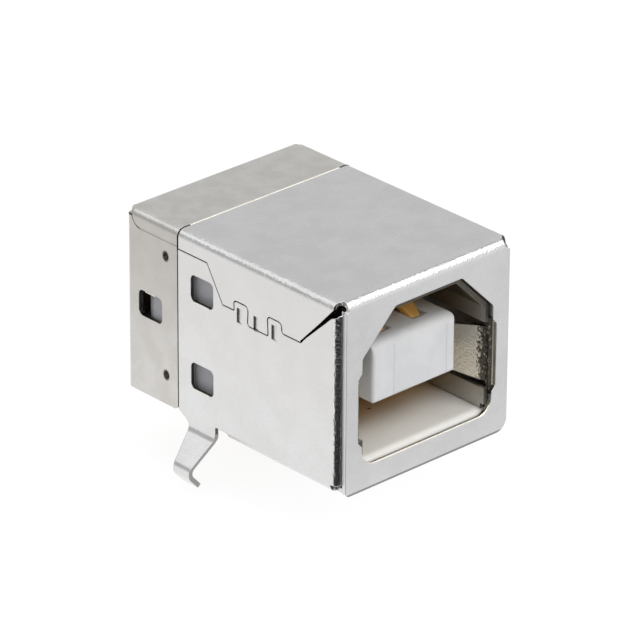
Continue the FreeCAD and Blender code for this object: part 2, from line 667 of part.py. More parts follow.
def window_pockets():
    """Shallow hollows in the block's sides, a little larger than the shell's windows."""
    face = HALF - SHEET - FIT
    margin = WINDOW_POCKET
    half = WINDOW_HEIGHT / 2 + margin
    pockets = []
    for level in WINDOW_LEVELS:
        pocket = box(-face, -face + WINDOW_POCKET, WINDOW_FRONT - margin,
                     WINDOW_FRONT + WINDOW_LENGTH + margin, level - half, level + half)
        pockets += both_sides(pocket)
    return pockets


def housing():
    """The white moulding: tongue, floor and rear block in one."""
    body = rear_block().fuse([floor(), tongue()])
    return body.cut(channels() + dimple_pockets() + window_pockets()).removeSplitter()


def tail_spacer():
    """Plastic comb under the rear cover that holds the four legs in their places."""
    half = CHEEK_INSIDE - FIT
    rear = BODY_LENGTH - SHEET - FIT
    top = SPACER_BOTTOM + SPACER_HEIGHT
    bar = box(-half, half, SPACER_FRONT, rear, SPACER_BOTTOM, top)
    leg = LEG_WIDTH / 2 + CHANNEL_FIT
    thick = CONTACT_SHEET / 2 + CHANNEL_FIT
    cuts = []
    for side in (-1, 1):
        centre = side * PITCH / 2
        for row in (ROW_FRONT, ROW_REAR):
            place = FRONT_TO_HOOK + row
            cuts.append(box(centre - leg, centre + leg, place - thick, place + thick,
                            SPACER_BOTTOM, top))
    return bar.cut(cuts)


def export(name, shape):
    """Write one piece."""
    shape.exportStep(os.path.join("parts", name + ".step"))
    print(name, "solids", len(shape.Solids), "valid", shape.isValid(), "volume", round(shape.Volume, 3))


os.makedirs("parts", exist_ok=True)
export("shell", shell())
export("rear_cover", rear_cover())
export("inner_shield", inner_shield())
export("housing", housing())
export("tail_spacer", tail_spacer())
for number, (side, upper) in enumerate(((1, True), (-1, True), (-1, False), (1, False)), 1):
    export("contact_%d" % number, contact(side, upper))
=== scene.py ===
"""Dresses a Type B board socket: plated sheet metal, white plastic and gold contacts.

Blender metres, +Z up, the board's top face at z = 0, the plug entering from -Y.
"""
import math

import bmesh
import bpy
from mathutils import Matrix, Vector


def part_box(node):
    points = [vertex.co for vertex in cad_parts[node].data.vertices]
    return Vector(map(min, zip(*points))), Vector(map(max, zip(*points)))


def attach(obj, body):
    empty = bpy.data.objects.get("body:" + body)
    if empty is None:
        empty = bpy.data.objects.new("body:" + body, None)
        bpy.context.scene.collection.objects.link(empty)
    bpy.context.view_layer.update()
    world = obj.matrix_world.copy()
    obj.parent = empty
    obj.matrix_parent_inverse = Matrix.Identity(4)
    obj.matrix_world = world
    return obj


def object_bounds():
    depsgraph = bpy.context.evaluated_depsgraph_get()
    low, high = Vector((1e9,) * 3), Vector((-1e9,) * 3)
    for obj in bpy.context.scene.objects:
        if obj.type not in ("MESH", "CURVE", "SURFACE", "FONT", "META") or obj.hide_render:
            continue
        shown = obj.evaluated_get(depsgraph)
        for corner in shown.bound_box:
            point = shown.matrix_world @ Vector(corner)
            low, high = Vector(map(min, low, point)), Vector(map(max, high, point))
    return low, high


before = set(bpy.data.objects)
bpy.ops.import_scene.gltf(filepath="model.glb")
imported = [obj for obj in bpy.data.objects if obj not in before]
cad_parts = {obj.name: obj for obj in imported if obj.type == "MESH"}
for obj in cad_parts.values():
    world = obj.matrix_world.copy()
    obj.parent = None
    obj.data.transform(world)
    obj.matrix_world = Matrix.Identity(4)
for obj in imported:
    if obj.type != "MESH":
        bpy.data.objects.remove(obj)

CAD_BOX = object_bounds()

# Places and sizes in millimetres, in the frame's own axes. The opening, the lining, the windows,
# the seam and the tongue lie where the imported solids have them.
MM = 0.001
SHELL_LOW, SHELL_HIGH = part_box("shell")
COVER_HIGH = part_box("rear_cover")[1]
FRONT = SHELL_LOW.y / MM
REAR_EDGE = SHELL_HIGH.y / MM
TOP = COVER_HIGH.z / MM
SIDE = COVER_HIGH.x / MM
SHEET = 0.25
OPENING_HALF, OPENING_LOW, OPENING_HIGH, OPENING_CUT = 4.525, 1.20, 9.50, 2.23
LINING_HALF, LINING_HIGH, LINING_CUT = 4.225, 9.18, 2.00
RIM = 0.05
SLOT_LOW, SLOT_HIGH = 2.55, 6.30
WINDOW_LEVELS, WINDOW_HALF = (2.80, 7.73), 0.75
COVER_WINDOW_LEVEL = 5.50
DIMPLES = ((2.72, 2.05), (2.72, 8.78))
SPECK = (-0.04, -6.07, 1.40)
SEAM = REAR_EDGE + 0.025
BEND_OUT = 0.45
FLAP_JOINT, FLAP_END = 9.645, 4.70
PITCH = 2.50
TONGUE_LOW, TONGUE_HIGH = 3.78, 7.05
BURR_START = 0.85
POCKET_DEPTH = 0.30

NOISE, RANGE, MIX, MATHS = "ShaderNodeTexNoise", "ShaderNodeMapRange", "ShaderNodeMix", "ShaderNodeMath"
AXES, GEOMETRY = "ShaderNodeSeparateXYZ", "ShaderNodeNewGeometry"

bl_info = {
    "name": "Type B board socket",
    "version": (1, 0, 0),
    "blender": (4, 5, 0),
    "location": "View3D > Sidebar > Socket",
    "description": "Finishes of a board socket: plated sheet metal, moulded plastic, gold contacts",
    "category": "Object",
}


def from_hex(code):
    """Linear colour with alpha from an sRGB hex code such as C8C6C2."""
    values = [int(code[i:i + 2], 16) / 255 for i in (0, 2, 4)]
    return [v / 12.92 if v <= 0.04045 else ((v + 0.055) / 1.055) ** 2.4 for v in values] + [1.0]


def add(tree, kind, inputs=None, **settings):
    """Adds a node. Each input gets a value, a hex colour, a socket or a node's first live output."""
    made = tree.nodes.new(kind)
    for name, value in settings.items():
        setattr(made, name, value)
    for name, value in (inputs or {}).items():
        if isinstance(value, bpy.types.Node):
            value = next(socket for socket in value.outputs if socket.enabled)
        if isinstance(value, bpy.types.NodeSocket):
            tree.links.new(value, made.inputs[name])
        else:
            made.inputs[name].default_value = from_hex(value) if isinstance(value, str) else value
    return made


def grains(size):
    """Noise scale in a metre space for grains of that size in millimetres."""
    return 1 / (size * MM)


def new_material(name):
    """Empty material with its tree and the object's own coordinates."""
    material = bpy.data.materials.new(name)
    material.use_nodes = True
    tree = material.node_tree
    tree.nodes.clear()
    place = add(tree, "ShaderNodeTexCoord").outputs["Object"]
    return material, tree, place


def stained(tree, colour, tone, pattern, low, high, strength=1.0):
    """Colour that turns to a tone, up to a strength, as a pattern goes from one value to another."""
    share = add(tree, RANGE, {"Value": pattern, "From Min": low, "From Max": high, "To Max": strength},
                interpolation_type="SMOOTHSTEP")
    return add(tree, MIX, {0: share, 6: colour, 7: tone}, data_type="RGBA")


def tinted(tree, colour, tone, share, strength):
    """Colour moved towards a tone by a share times a strength."""
    part = add(tree, MATHS, {0: share, 1: strength}, operation="MULTIPLY")
    return add(tree, MIX, {0: part, 6: colour, 7: tone}, data_type="RGBA")


def product(tree, *shares):
    """Product of shares."""
    result = shares[0]
    for share in shares[1:]:
        result = add(tree, MATHS, {0: result, 1: share}, operation="MULTIPLY")
    return result


def facing(tree, normal_name):
    """How far a surface faces along each axis, 0 to 1, from a normal of the Geometry node."""
    normal = add(tree, GEOMETRY).outputs[normal_name]
    return [add(tree, MATHS, {0: axis}, operation="ABSOLUTE")
            for axis in add(tree, AXES, {"Vector": normal}).outputs]


def bend_share(tree):
    """1 where the sheet is bent, 0 where it is flat, from how far its normal leaves the axes."""
    across, along, up = facing(tree, "Normal")
    flat = add(tree, MATHS, {0: across, 1: along}, operation="MAXIMUM")
    largest = add(tree, MATHS, {0: flat, 1: up}, operation="MAXIMUM")
    return add(tree, RANGE, {"Value": largest, "From Min": 0.995, "From Max": 0.93},
               interpolation_type="SMOOTHSTEP")


def within(tree, value, low, high):
    """1 where a coordinate lies between two limits in millimetres."""
    away = add(tree, MATHS, {0: value, 1: (low + high) / 2 * MM}, operation="SUBTRACT")
    size = add(tree, MATHS, {0: away}, operation="ABSOLUTE")
    return add(tree, MATHS, {0: size, 1: (high - low) / 2 * MM}, operation="LESS_THAN")


def cut_edges(tree, place):
    """1 on the stamped edges of the sides, and less on those of the board hooks."""
    across_face, along_face, _ = facing(tree, "True Normal")
    axes = add(tree, AXES, {"Vector": place}).outputs
    across = add(tree, MATHS, {0: axes["X"]}, operation="ABSOLUTE")
    side = product(tree, within(tree, across, SIDE - SHEET + 0.03, SIDE - 0.02),
                   add(tree, MATHS, {0: across_face, 1: 0.5}, operation="LESS_THAN"),
                   add(tree, MATHS, {0: axes["Z"], 1: 0.0}, operation="GREATER_THAN"))
    hook = product(tree, add(tree, MATHS, {0: axes["Z"], 1: 0.0}, operation="LESS_THAN"),
                   add(tree, MATHS, {0: along_face, 1: 0.7}, operation="GREATER_THAN"), 0.65)
    return add(tree, MATHS, {0: side, 1: hook}, operation="MAXIMUM")


def finger_light_and_shade(tree, place, colour):
    """Colour with a painted warm light on the fingers of the plug space and painted dark mottled shade on
    their noses.
    """
    axes = add(tree, AXES, {"Vector": place}).outputs
    across = add(tree, MATHS, {0: axes["X"]}, operation="ABSOLUTE")
    fingers = product(tree, within(tree, across, 0, 4.95), within(tree, axes["Y"], FRONT + 0.02, REAR_EDGE),
                      within(tree, axes["Z"], 2.2, 6.6))
    # Painted warm light on the fingers.
    colour = tinted(tree, colour, "F3EEDF", fingers, 0.8)
    near = add(tree, RANGE, {"Value": across, "From Min": 4.25 * MM, "From Max": 4.60 * MM, "To Min": 0.05,
                             "To Max": 0.60}, interpolation_type="SMOOTHSTEP")
    tall = add(tree, "ShaderNodeMapping", {"Vector": place, "Scale": (1.0, 1.0, 0.5)})
    mottle = add(tree, NOISE, {"Vector": tall, "Scale": grains(0.12), "Roughness": 0.7})
    spots = add(tree, RANGE, {"Value": add(tree, MATHS, {0: mottle, 1: near}, operation="ADD"),
                              "From Min": 0.80, "From Max": 1.0, "To Max": 0.9},
                interpolation_type="SMOOTHSTEP")
    nose = add(tree, RANGE, {"Value": across, "From Min": 4.80 * MM, "From Max": 4.72 * MM},
               interpolation_type="SMOOTHSTEP")
    # Painted dark mottled shade on the fingers' noses.
    nose_shade = product(tree, fingers, nose, within(tree, axes["Y"], FRONT, FRONT + 1.6), spots)
    return add(tree, MIX, {0: nose_shade, 6: colour, 7: "2E2823"}, data_type="RGBA")


def dents(tree, place):
    """1 in the pressed dimples of the cover, fading out round them. They are a little taller than long."""
    squeeze = 0.8
    flat = add(tree, "ShaderNodeMapping", {"Vector": place, "Scale": (0.0, 1.0, squeeze)})
    result = 0.0
    for y, z in DIMPLES:
        away = add(tree, "ShaderNodeVectorMath", {0: flat, 1: (0, y * MM, squeeze * z * MM)},
                   operation="DISTANCE")
        share = add(tree, RANGE, {"Value": away, "From Min": 0.30 * MM, "From Max": 0.17 * MM},
                    interpolation_type="SMOOTHSTEP")
        result = add(tree, MATHS, {0: result, 1: share}, operation="MAXIMUM")
    return result


def plated_steel(name, pale, dull, blotch, rough, speckle, flank_shade):
    """Nickel-plated steel strip, rolled, stamped and folded: a satin gloss with faint blotches,
    fine rolling grain along the strip, an open, sparkling grain on the bends, a painted shade on
    the side faces that deepens towards the top, stamped edges darkened partly by the cut steel's
    dullness and partly by painted shade, painted shade in the dimples, and painted warm light and
    dark mottled shade on the fingers inside the plug space."""
    material, tree, place = new_material(name)
    drift = add(tree, NOISE, {"Vector": place, "Scale": grains(blotch), "Detail": 4.0, "Roughness": 0.55})
    colour = stained(tree, dull, pale, drift, 0.35, 0.65)
    specks = add(tree, NOISE, {"Vector": place, "Scale": grains(0.14), "Roughness": 0.6})
    colour = stained(tree, colour, "9A958E", specks, 0.66, 0.74, 0.25)
    strip = add(tree, "ShaderNodeMapping", {"Vector": place, "Scale": (1.0, 0.35, 1.0)})
    rolled = add(tree, NOISE, {"Vector": strip, "Scale": grains(0.10), "Detail": 3.0, "Roughness": 0.7})
    colour = stained(tree, colour, "B9B6B2", rolled, 0.35, 0.65, 0.12)
    height = add(tree, AXES, {"Vector": place}).outputs["Z"]
    # Painted shade: the side faces turn towards the flank tone, more so towards the top.
    sideways = add(tree, RANGE, {"Value": facing(tree, "Normal")[0], "From Min": 0.9, "From Max": 0.98},
                   interpolation_type="SMOOTHSTEP")
    shade_towards_top = add(tree, RANGE, {"Value": height, "From Min": 1 * MM, "From Max": 9 * MM, "To Min": 0.22,
                                "To Max": 0.60}, interpolation_type="SMOOTHSTEP")
    colour = add(tree, MIX, {0: product(tree, sideways, shade_towards_top), 6: colour, 7: flank_shade}, data_type="RGBA")
    if "shell" in name:
        colour = finger_light_and_shade(tree, place, colour)
    # Stamped edges turned dark brown, partly the cut steel's own dullness and partly painted shade.
    colour = tinted(tree, colour, "33291F", cut_edges(tree, place), 0.9)
    # Painted shade in the pressed dimples of the cover.
    colour = tinted(tree, colour, "2C1B13", dents(tree, place), 0.95)
    bends = bend_share(tree)
    patches = add(tree, NOISE, {"Vector": place, "Scale": grains(0.5), "Detail": 3.0})
    satin = add(tree, RANGE, {"Value": patches, "From Min": 0.3, "From Max": 0.7, "To Min": rough - 0.015,
                              "To Max": rough + 0.02}, interpolation_type="SMOOTHSTEP")
    gloss = add(tree, MATHS, {0: satin, 1: product(tree, bends, 0.14)}, operation="SUBTRACT")
    drawn = add(tree, "ShaderNodeMapping", {"Vector": place, "Scale": (1.0, 0.12, 1.0)})
    grain = add(tree, NOISE, {"Vector": drawn, "Scale": grains(0.07)})
    crystals = add(tree, NOISE, {"Vector": place, "Scale": grains(0.15)})
    above_hooks = add(tree, MATHS, {0: height, 1: 0.3 * MM}, operation="GREATER_THAN")
    rounded = add(tree, "ShaderNodeBevel", {"Radius": 0.06 * MM}, samples=8)
    fine = add(tree, "ShaderNodeBump", {"Height": grain, "Strength": 0.10, "Distance": 0.004 * MM,
                                        "Normal": rounded})
    normal = add(tree, "ShaderNodeBump", {"Height": product(tree, crystals, bends, above_hooks),
                                          "Strength": speckle, "Distance": 0.035 * MM, "Normal": fine})
    surface = add(tree, "ShaderNodeBsdfPrincipled", {"Base Color": colour, "Metallic": 1.0,
                                                     "Roughness": gloss, "Normal": normal})
    add(tree, "ShaderNodeOutputMaterial", {"Surface": surface})
    return material


def moulded_plastic(name, pale, shade):
    """Glass-filled PBT, injection moulded: a milky cool white that lets a little light in, with a
    fine eroded mould grain and a soft, wide gloss. It carries a painted warm shade deep in the
    plug space, a painted grey shade where the shell's windows show it and a painted light on the
    front of its sill, with one burnt speck in the resin, and two fine witness lines of the mould
    run down the tongue's face."""
    material, tree, place = new_material(name)
    drift = add(tree, NOISE, {"Vector": place, "Scale": grains(1.8), "Detail": 3.0, "Roughness": 0.6})
    colour = stained(tree, shade, pale, drift, 0.35, 0.65)
    axes = add(tree, AXES, {"Vector": place}).outputs
    across = add(tree, MATHS, {0: axes["X"]}, operation="ABSOLUTE")
    inside = within(tree, across, 0, 4.6)
    # Painted warm shade, deepening into the plug space.
    warm_shade_inwards = add(tree, RANGE, {"Value": axes["Y"], "From Min": (FRONT + 1.1) * MM,
                                "From Max": (FRONT + 5.0) * MM, "To Max": 0.9},
                  interpolation_type="SMOOTHSTEP")
    colour = add(tree, MIX, {0: product(tree, inside, warm_shade_inwards), 6: colour, 7: "AE8C54"}, data_type="RGBA")
    # Painted light on the front of the sill.
    low = add(tree, MATHS, {0: axes["Z"], 1: 1.9 * MM}, operation="LESS_THAN")
    light_towards_front = add(tree, RANGE, {"Value": axes["Y"], "From Min": (FRONT + 4.2) * MM,
                                 "From Max": (FRONT + 1.4) * MM}, interpolation_type="SMOOTHSTEP")
    colour = tinted(tree, colour, "F0EFEA", product(tree, inside, low, light_towards_front), 0.8)
    speck = add(tree, "ShaderNodeVectorMath", {0: place, 1: [v * MM for v in SPECK]}, operation="DISTANCE")
    colour = stained(tree, colour, "2F2B28", speck, 0.12 * MM, 0.06 * MM)
    # Painted grey shade on the plastic's outer faces, which the shell's windows show.
    window_shade = add(tree, MATHS, {0: across, 1: 5.45 * MM}, operation="GREATER_THAN")
    colour = tinted(tree, colour, "909096", window_shade, 0.75)
    face = within(tree, axes["Y"], FRONT + 0.95, FRONT + 1.05)
    for line in (-1.40, 2.25):
        witness = product(tree, face, within(tree, axes["X"], line - 0.03, line + 0.03))
        colour = tinted(tree, colour, "A9ABB0", witness, 0.5)
    fibres = add(tree, NOISE, {"Vector": place, "Scale": grains(0.12), "Roughness": 0.6})
    gloss = add(tree, RANGE, {"Value": fibres, "From Min": 0.3, "From Max": 0.7, "To Min": 0.42,
                              "To Max": 0.55}, interpolation_type="SMOOTHSTEP")
    rounded = add(tree, "ShaderNodeBevel", {"Radius": 0.28 * MM}, samples=12)
    normal = add(tree, "ShaderNodeBump", {"Height": fibres, "Strength": 0.15, "Distance": 0.01 * MM,
                                          "Normal": rounded})
    surface = add(tree, "ShaderNodeBsdfPrincipled", {"Base Color": colour, "Metallic": 0.0,
                                                     "Roughness": gloss, "IOR": 1.54,
                                                     "Subsurface Weight": 0.35,
                                                     "Subsurface Radius": (1.0, 0.95, 0.85),
                                                     "Subsurface Scale": 0.5 * MM, "Normal": normal})
    add(tree, "ShaderNodeOutputMaterial", {"Surface": surface})
    return material


def gold_plating(name, pale, deep):
    """Phosphor bronze strip with gold plated over it: a deep yellow, half-bright, with the
    strip's grain along the beam showing through."""
    material, tree, place = new_material(name)
    drift = add(tree, NOISE, {"Vector": place, "Scale": grains(0.6), "Detail": 3.0, "Roughness": 0.6})
    colour = stained(tree, deep, pale, drift, 0.25, 0.75)
    strip = add(tree, "ShaderNodeMapping", {"Vector": place, "Scale": (1.0, 0.15, 0.15)})
    grain = add(tree, NOISE, {"Vector": strip, "Scale": grains(0.05)})
    gloss = add(tree, RANGE, {"Value": grain, "From Min": 0.3, "From Max": 0.7, "To Min": 0.36,
                              "To Max": 0.46}, interpolation_type="SMOOTHSTEP")
    rounded = add(tree, "ShaderNodeBevel", {"Radius": 0.04 * MM}, samples=6)
    normal = add(tree, "ShaderNodeBump", {"Height": grain, "Strength": 0.12, "Distance": 0.005 * MM,
                                          "Normal": rounded})
    surface = add(tree, "ShaderNodeBsdfPrincipled", {"Base Color": colour, "Metallic": 0.75,
                                                     "Roughness": gloss, "Normal": normal})
    add(tree, "ShaderNodeOutputMaterial", {"Surface": surface})
    return material


def shadowed_steel(name, pale, dull, front=None):
    """Nickel-plated steel in a gap or deep under the front plate, its tones a painted shade, with
    its cut front edge given a darker painted shade still."""
    material, tree, place = new_material(name)
    drift = add(tree, NOISE, {"Vector": place, "Scale": grains(0.6), "Detail": 3.0, "Roughness": 0.6})
    colour = stained(tree, dull, pale, drift, 0.35, 0.65)
    # The face turned to the plug gets a darker painted shade.
    if front:
        cut = add(tree, MATHS, {0: facing(tree, "True Normal")[1], 1: 0.7}, operation="GREATER_THAN")
        colour = add(tree, MIX, {0: cut, 6: colour, 7: front}, data_type="RGBA")
    surface = add(tree, "ShaderNodeBsdfPrincipled", {"Base Color": colour, "Metallic": 1.0,
                                                     "Roughness": 0.42})
    add(tree, "ShaderNodeOutputMaterial", {"Surface": surface})
    return material


def burnished_steel(name, pale, dull):
    """Nickel-plated steel burr, rubbed bright by the stamping die."""
    material, tree, place = new_material(name)
    drift = add(tree, NOISE, {"Vector": place, "Scale": grains(0.4), "Roughness": 0.6})
    colour = stained(tree, dull, pale, drift, 0.35, 0.65)
    surface = add(tree, "ShaderNodeBsdfPrincipled", {"Base Color": colour, "Metallic": 1.0,
                                                     "Roughness": 0.22})
    add(tree, "ShaderNodeOutputMaterial", {"Surface": surface})
    return material


def give(node, material):
    """Puts a material on a CAD node."""
    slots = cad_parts[node].data.materials
    slots.clear()
    slots.append(material)


def bead_group():
    """Node group that lays a bead of uneven thickness along the edges it is given."""
    group = bpy.data.node_groups.new("uneven_bead", "GeometryNodeTree")
    for name, direction, kind in (("Geometry", "INPUT", "NodeSocketGeometry"),
                                  ("Radius", "INPUT", "NodeSocketFloat"),
                                  ("Unevenness", "INPUT", "NodeSocketFloat"),
                                  ("Seed", "INPUT", "NodeSocketInt"),
                                  ("Material", "INPUT", "NodeSocketMaterial"),
                                  ("Geometry", "OUTPUT", "NodeSocketGeometry")):
        group.interface.new_socket(name, in_out=direction, socket_type=kind)
    given = add(group, "NodeGroupInput").outputs
    line = add(group, "GeometryNodeMeshToCurve", {"Mesh": given["Geometry"]})
    steps = add(group, "GeometryNodeResampleCurve", {"Curve": line, "Length": 0.06 * MM}, mode="LENGTH")
    thinnest = add(group, MATHS, {0: 1.0, 1: given["Unevenness"]}, operation="SUBTRACT")
    thickness = add(group, "FunctionNodeRandomValue", {2: thinnest, 3: 1.0, "Seed": given["Seed"]},
                    data_type="FLOAT").outputs[1]
    uneven = add(group, "GeometryNodeSetCurveRadius", {"Curve": steps, "Radius": thickness})
    ring = add(group, "GeometryNodeCurvePrimitiveCircle", {"Resolution": 8, "Radius": given["Radius"]},
               mode="RADIUS")
    round_bar = add(group, "GeometryNodeCurveToMesh", {"Curve": uneven, "Profile Curve": ring,
                                                       "Fill Caps": True})
    whole = add(group, "GeometryNodeRealizeInstances", {"Geometry": round_bar})
    dressed = add(group, "GeometryNodeSetMaterial", {"Geometry": whole, "Material": given["Material"]})
    add(group, "NodeGroupOutput", {"Geometry": dressed})
    return group


def bead(name, group, paths, radius, unevenness, seed, material):
    """Bead along one or more lines, given in millimetres. Its radius is in metres."""
    mesh = bpy.data.meshes.new(name)
    points, edges = [], []
    for path in paths:
        start = len(points)
        points += [[v * MM for v in point] for point in path]
        edges += [(i, i + 1) for i in range(start, len(points) - 1)]
    mesh.from_pydata(points, edges, [])
    piece = bpy.data.objects.new(name, mesh)
    bpy.context.scene.collection.objects.link(piece)
    modifier = piece.modifiers.new("bead", "NODES")
    modifier.node_group = group
    values = {"Radius": radius, "Unevenness": unevenness, "Seed": seed, "Material": material}
    for item in group.interface.items_tree:
        if item.in_out == "INPUT" and item.name in values:
            modifier[item.identifier] = values[item.name]
    bpy.context.view_layer.update()
    solid = bpy.data.meshes.new_from_object(piece.evaluated_get(bpy.context.evaluated_depsgraph_get()))
    piece.modifiers.remove(modifier)
    if not solid.polygons:
        raise RuntimeError("no bead was made for " + name)
    piece.data = solid
    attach(piece, "root")


def gap_corner(side):
    """Line of the gap between shell and cover, from a side round the bend to the top."""
    deep = 0.05

    def on_gap(x, z):
        return (side * x, SEAM, z)

    bend = arc((SIDE - BEND_OUT, TOP - BEND_OUT), BEND_OUT - deep, 0, 90, on_gap)
    return [on_gap(SIDE - deep, TOP - 1.05)] + bend + [on_gap(SIDE - BURR_START, TOP - deep)]


def arc(centre, radius, start, end, place):
    """Points of an arc in a plane, the angles in degrees."""
    steps = [math.radians(start + (end - start) * i / 6) for i in range(7)]
    return [place(centre[0] + radius * math.cos(t), centre[1] + radius * math.sin(t)) for t in steps]


def mouth_line(share):
    """Outline across the plug space, between the lining's and the opening's, above the slots."""
    half = LINING_HALF + (OPENING_HALF - RIM - LINING_HALF) * share
    high = LINING_HIGH + (OPENING_HIGH - RIM - LINING_HIGH) * share
    cut = LINING_CUT + (OPENING_CUT - LINING_CUT) * share
    return [(-half, SLOT_HIGH), (-half, high - cut), (-half + cut, high), (half - cut, high),
            (half, high - cut), (half, SLOT_HIGH)]


def sleeve(name, rings, material):
    """Thin closed strip between four lines that run side by side, in millimetres."""
    count = len(rings[0])
    points = [[v * MM for v in point] for ring in rings for point in ring]
    faces = []
    for r in range(4):
        a, b = r * count, (r + 1) % 4 * count
        faces += [(a + i, a + i + 1, b + i + 1, b + i) for i in range(count - 1)]
    faces.append([r * count for r in range(4)])
    faces.append([r * count + count - 1 for r in (3, 2, 1, 0)])
    mesh = bpy.data.meshes.new(name)
    mesh.from_pydata(points, [], faces)
    shape = bmesh.new()
    shape.from_mesh(mesh)
    bmesh.ops.recalc_face_normals(shape, faces=shape.faces)
    shape.to_mesh(mesh)
    shape.free()
    mesh.materials.append(material)
    piece = bpy.data.objects.new(name, mesh)
    bpy.context.scene.collection.objects.link(piece)
    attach(piece, "root")


class SocketFinish(bpy.types.PropertyGroup):
    """Finishes of the sheet metal, the plastic and the contacts, and the burrs' thickness."""

    shell_tone: bpy.props.FloatVectorProperty(
        name="Shell tone", description="Pale tone of the shell's plating", size=4, subtype="COLOR",
        min=0.0, max=1.0, default=from_hex("E9E9EA"))
    cover_tone: bpy.props.FloatVectorProperty(
        name="Cover tone", description="Pale tone of the rear cover's plating", size=4, subtype="COLOR",
        min=0.0, max=1.0, default=from_hex("E2E0DD"))
    plastic_tone: bpy.props.FloatVectorProperty(
        name="Plastic tone", description="Pale tone of the housing's plastic", size=4, subtype="COLOR",
        min=0.0, max=1.0, default=from_hex("D2D4D7"))
    gold_tone: bpy.props.FloatVectorProperty(
        name="Gold tone", description="Pale tone of the contacts' plating", size=4, subtype="COLOR",
        min=0.0, max=1.0, default=from_hex("FFCC74"))
    shell_roughness: bpy.props.FloatProperty(
        name="Shell roughness", description="Roughness of the shell's plating", default=0.36,
        min=0.1, max=0.9, subtype="FACTOR")
    cover_roughness: bpy.props.FloatProperty(
        name="Cover roughness", description="Roughness of the rear cover's plating", default=0.40,
        min=0.1, max=0.9, subtype="FACTOR")
    bend_sparkle: bpy.props.FloatProperty(
        name="Bend sparkle", description="Strength of the open grain on the bends", default=0.9,
        min=0.0, max=1.0, subtype="FACTOR")
    gap_burr: bpy.props.FloatProperty(
        name="Gap burr", description="Radius of the burr between shell and cover", default=0.06 * MM,
        min=0.0, precision=5, unit="LENGTH")
    opening_burr: bpy.props.FloatProperty(
        name="Opening burr", description="Radius of the burr along the opening", default=0.045 * MM,
        min=0.0, precision=5, unit="LENGTH")
    window_burr: bpy.props.FloatProperty(
        name="Window burr", description="Radius of the burrs under the windows", default=0.035 * MM,
        min=0.0, precision=5, unit="LENGTH")


class SocketStage(bpy.types.PropertyGroup):
    """Camera, floor and lights."""

    azimuth: bpy.props.FloatProperty(
        name="Azimuth", description="Camera's turn round the socket", default=math.radians(-43.09),
        subtype="ANGLE")
    elevation: bpy.props.FloatProperty(
        name="Elevation", description="Camera's height above the horizon", default=math.radians(26.25),
        subtype="ANGLE")
    roll: bpy.props.FloatProperty(
        name="Roll", description="Camera's tilt to the side", default=math.radians(0.37),
        subtype="ANGLE")
    distance: bpy.props.FloatProperty(
        name="Distance", description="From the camera to the socket's middle", default=274.8 * MM,
        unit="LENGTH")
    lens: bpy.props.FloatProperty(
        name="Lens", description="Focal length for a 36 mm sensor", default=304.5, unit="CAMERA")
    side_light: bpy.props.FloatProperty(
        name="Side light", description="Power of the softbox on the left", default=0.02, min=0.0)
    front_light: bpy.props.FloatProperty(
        name="Front light", description="Power of the softbox in front", default=0.155, min=0.0)
    top_light: bpy.props.FloatProperty(
        name="Top light", description="Power of the softbox overhead", default=0.09, min=0.0)
    room: bpy.props.FloatProperty(
        name="Room", description="Strength of the even light from all sides", default=0.55, min=0.0)


class FinishSheetMetal(bpy.types.Operator):
    """Plates the shell, the rear cover and the lining of the plug space"""

    bl_idname = "socket.finish_sheet_metal"
    bl_label = "Plate the sheet metal"

    def execute(self, context):
        finish = context.scene.socket_finish
        # The last tone given to each is the painted shade of its side faces.
        give("shell", plated_steel("nickel_plated_steel_shell", finish.shell_tone, "E3E3E3", 1.6,
                                   finish.shell_roughness, finish.bend_sparkle, "D7D5D2"))
        give("rear_cover", plated_steel("nickel_plated_steel_cover", finish.cover_tone, "D9D6D2", 1.2,
                                        finish.cover_roughness, finish.bend_sparkle / 2, "AEAAA4"))
        # The lining's tones, darker than the shell's, are painted shade of the plug space.
        give("inner_shield", plated_steel("nickel_plated_steel_lining", "C8C5BE", "B9B6AE", 1.5,
                                          finish.shell_roughness, finish.bend_sparkle / 2, "BDB9B1"))
        return {"FINISHED"}


class DrawBurrs(bpy.types.Operator):
    """Lays the fine bright burrs that the stamping left on the edges"""

    bl_idname = "socket.draw_burrs"
    bl_label = "Draw the burrs"

    def execute(self, context):
        steel = burnished_steel("nickel_plated_steel_burr", "FDFAF0", "F3EEDF")
        gap_shade = shadowed_steel("painted_gap_shadow_steel", "2C231A", "1B1611")
        group = bead_group()
        finish = context.scene.socket_finish
        end, level = SIDE - BURR_START, TOP - 0.035
        bead("gap_burr", group, [[(-end, SEAM, level), (end, SEAM, level)]], finish.gap_burr, 0.35, 3, steel)
        # Dark beads of painted shadow in the gap between shell and cover, round the bends.
        corners = [gap_corner(side) for side in (-1, 1)]
        bead("gap_shadow", group, corners, 0.075 * MM, 0.3, 9, gap_shade)
        sunk = 0.06
        walls = [side * (SIDE - sunk) for side in (-1, 1)]
        joints = [[(wall, SEAM + sunk, FLAP_JOINT), (wall, FLAP_END, FLAP_JOINT)] for wall in walls]
        bead("flap_joint", group, joints, 0.05 * MM, 0.1, 11, bpy.data.materials["nickel_plated_steel_cover"])
        half, corner = OPENING_HALF - 0.02, 0.9

        def on_front(x, z):
            return (x, FRONT + 0.045, z)

        centre = OPENING_LOW + corner
        opening = (arc((-half + corner, centre), corner, 190, 270, on_front)
                   + arc((half - corner, centre), corner, 270, 330, on_front))
        bead("opening_burr", group, [opening], finish.opening_burr, 0.4, 5, steel)
        sills = [level - WINDOW_HALF for level in WINDOW_LEVELS]
        lines = [[(-SIDE, REAR_EDGE - 2.35, sill), (-SIDE, REAR_EDGE - 1.25, sill)] for sill in sills]
        lintel = COVER_WINDOW_LEVEL + 0.72
        lines.append([(-SIDE, REAR_EDGE + 1.75, lintel), (-SIDE, REAR_EDGE + 2.5, lintel)])
        bead("window_burrs", group, lines, finish.window_burr, 0.4, 7, steel)
        return {"FINISHED"}


